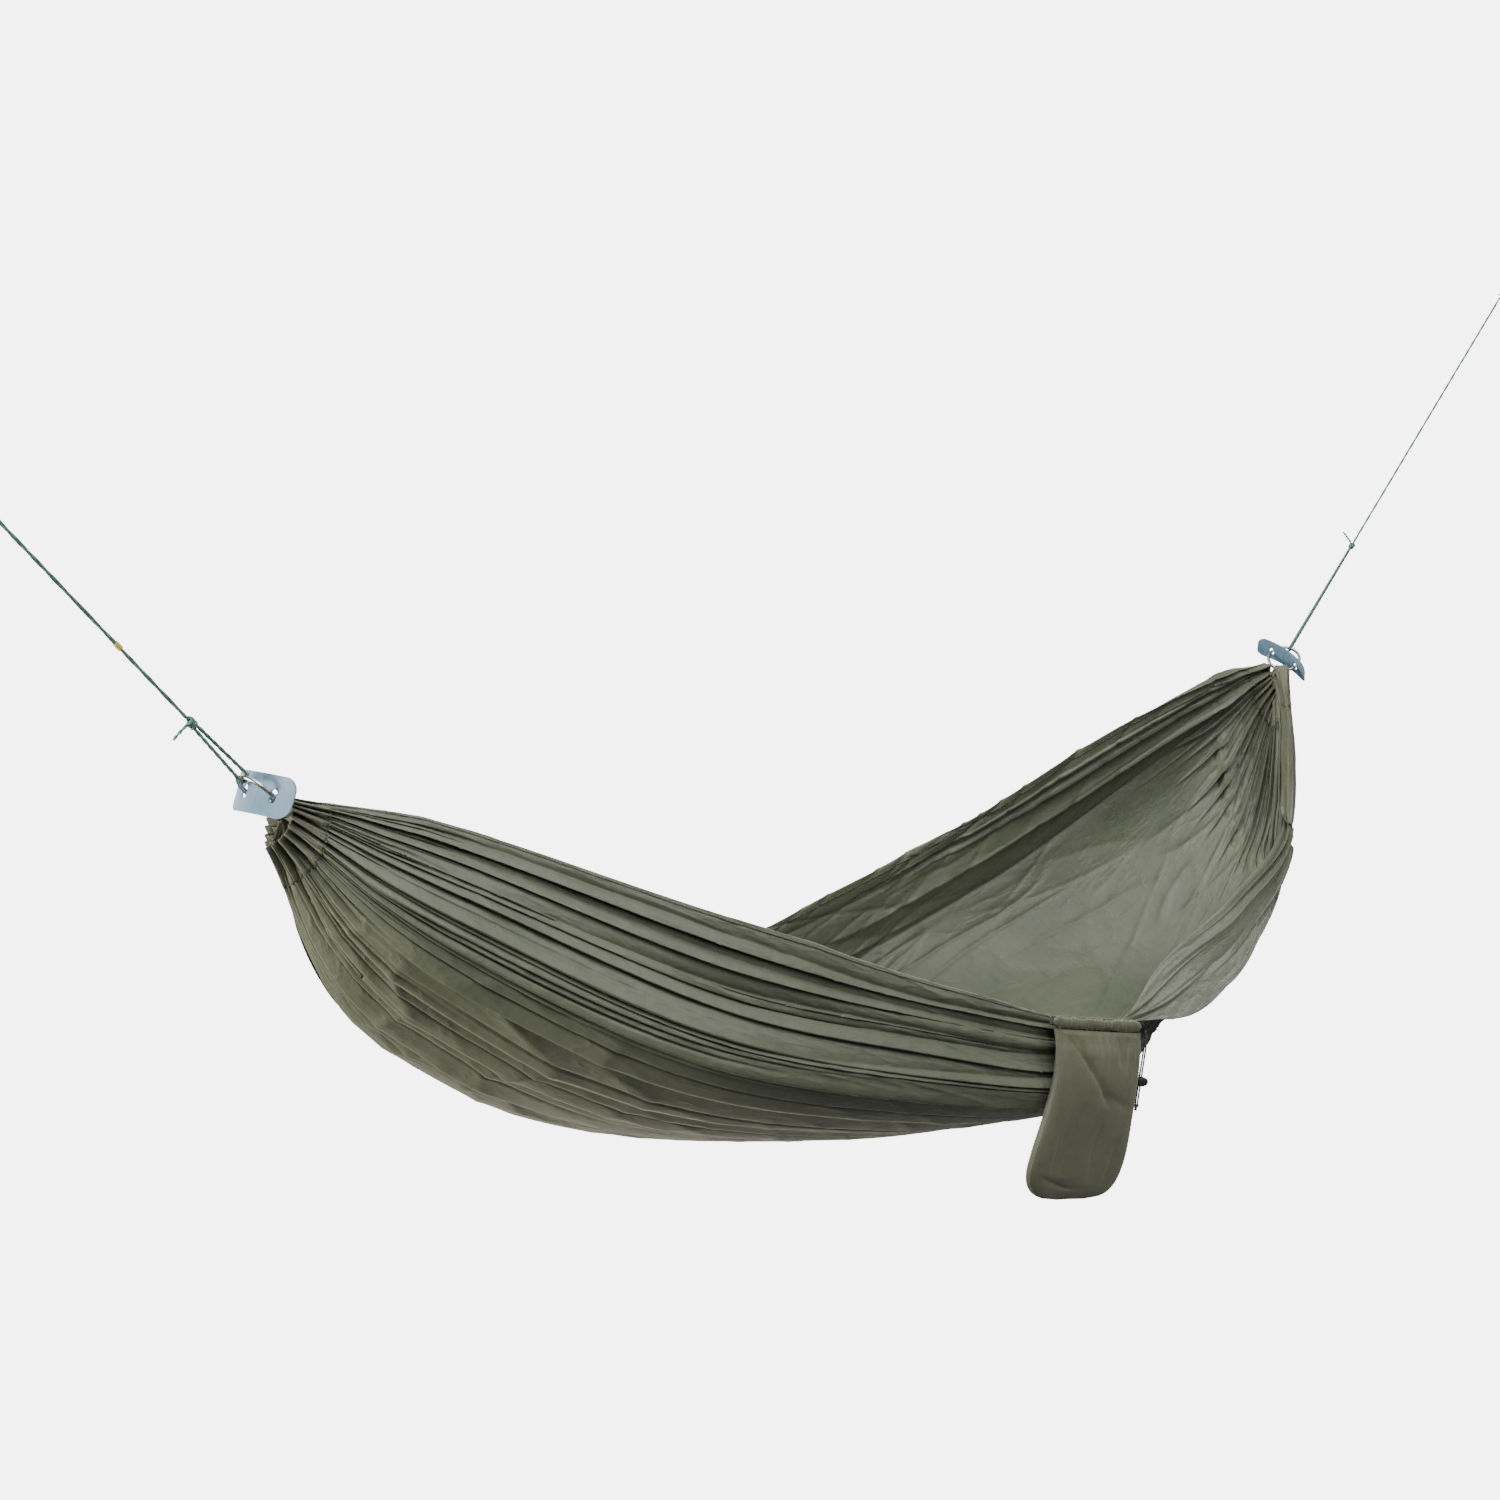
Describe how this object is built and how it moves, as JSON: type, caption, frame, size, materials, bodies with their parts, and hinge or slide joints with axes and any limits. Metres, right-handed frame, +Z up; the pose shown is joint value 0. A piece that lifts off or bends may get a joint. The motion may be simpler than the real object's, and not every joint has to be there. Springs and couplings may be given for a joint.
{
  "type": "camping hammock",
  "caption": "Gathered-end camping hammock of thin olive nylon, hung by ropes from two anchor eyes, with a stuff sack on its front edge.",
  "frame": {"origin": "centre of the left anchor eye, where the left rope is hung up", "axes": "+X towards the right anchor eye, +Y towards the back edge of the trough, +Z up"},
  "size_m": [3.3852, 0.7576, 1.3629],
  "materials": {
    "cloth": "satin",
    "cloth_hem": "satin",
    "rope": "satin",
    "gather_cord": "matte",
    "marker": "matte",
    "steel": "polished",
    "pad": "satin",
    "black_plastic": "satin",
    "black_cord": "matte"
  },
  "bodies": {
    "anchors": {"left_thimble": "steel", "left_eye_loop": "rope", "right_thimble": "steel", "right_eye_loop": "rope"},
    "hammock": {"left_tree_rope": "rope", "right_tree_rope": "rope", "left_rope_knot": "rope", "right_rope_knot": "rope", "left_bridle": "rope", "right_bridle": "rope", "rope_marker": "marker", "left_end_pad": "pad", "right_end_pad": "pad", "left_gather_cord": "gather_cord", "right_gather_cord": "gather_cord", "left_end_channel": "cloth_hem", "right_end_channel": "cloth_hem", "canopy": "cloth", "front_side_hem": "cloth_hem", "back_side_hem": "cloth_hem", "sack_hang_tape": "cloth_hem"},
    "left_ring_body": {"left_ring": "steel"},
    "right_ring_body": {"right_ring": "steel"},
    "sack": {"sack_mouth_casing": "cloth", "sack_bag": "cloth", "sack_eyelet": "black_plastic", "sack_drawcord": "black_cord", "drawcord_end_knot": "black_cord"},
    "cord_lock": {"cord_lock_body": "black_plastic", "cord_lock_spring": "steel"},
    "lock_button": {"cord_lock_button": "black_plastic"}
  },
  "joints": [
    {"name": "hammock_swing", "type": "hinge", "parent": "anchors", "child": "hammock", "pos_m": [0.034, 0, -0.036], "axis": [0.9934, 0, 0.1149], "range_deg": [-35, 35]},
    {"name": "left_ring_turn", "type": "hinge", "parent": "hammock", "child": "left_ring_body", "pos_m": [0.32866, 0, -0.34986], "axis": [0.7288, 0, 0.6847], "continuous": true},
    {"name": "right_ring_turn", "type": "hinge", "parent": "hammock", "child": "right_ring_body", "pos_m": [2.48913, 0, -0.34752], "axis": [0.6002, 0.3584, -0.7151], "continuous": true},
    {"name": "sack_swing", "type": "hinge", "parent": "hammock", "child": "sack", "pos_m": [1.37, -0.376, -0.74], "axis": [-0.9744, 0, 0.225], "range_deg": [0, 75]},
    {"name": "cord_lock_slide", "type": "slide", "parent": "sack", "child": "cord_lock", "axis": [0.225, 0, 0.9744], "range_m": [-0.012, 0.038]},
    {"name": "cord_lock_press", "type": "slide", "parent": "cord_lock", "child": "lock_button", "axis": [-0.9744, 0, 0.225], "range_m": [0, 0.003], "stiffness_N_per_m": 400, "springref_m": -0.002}
  ]
}
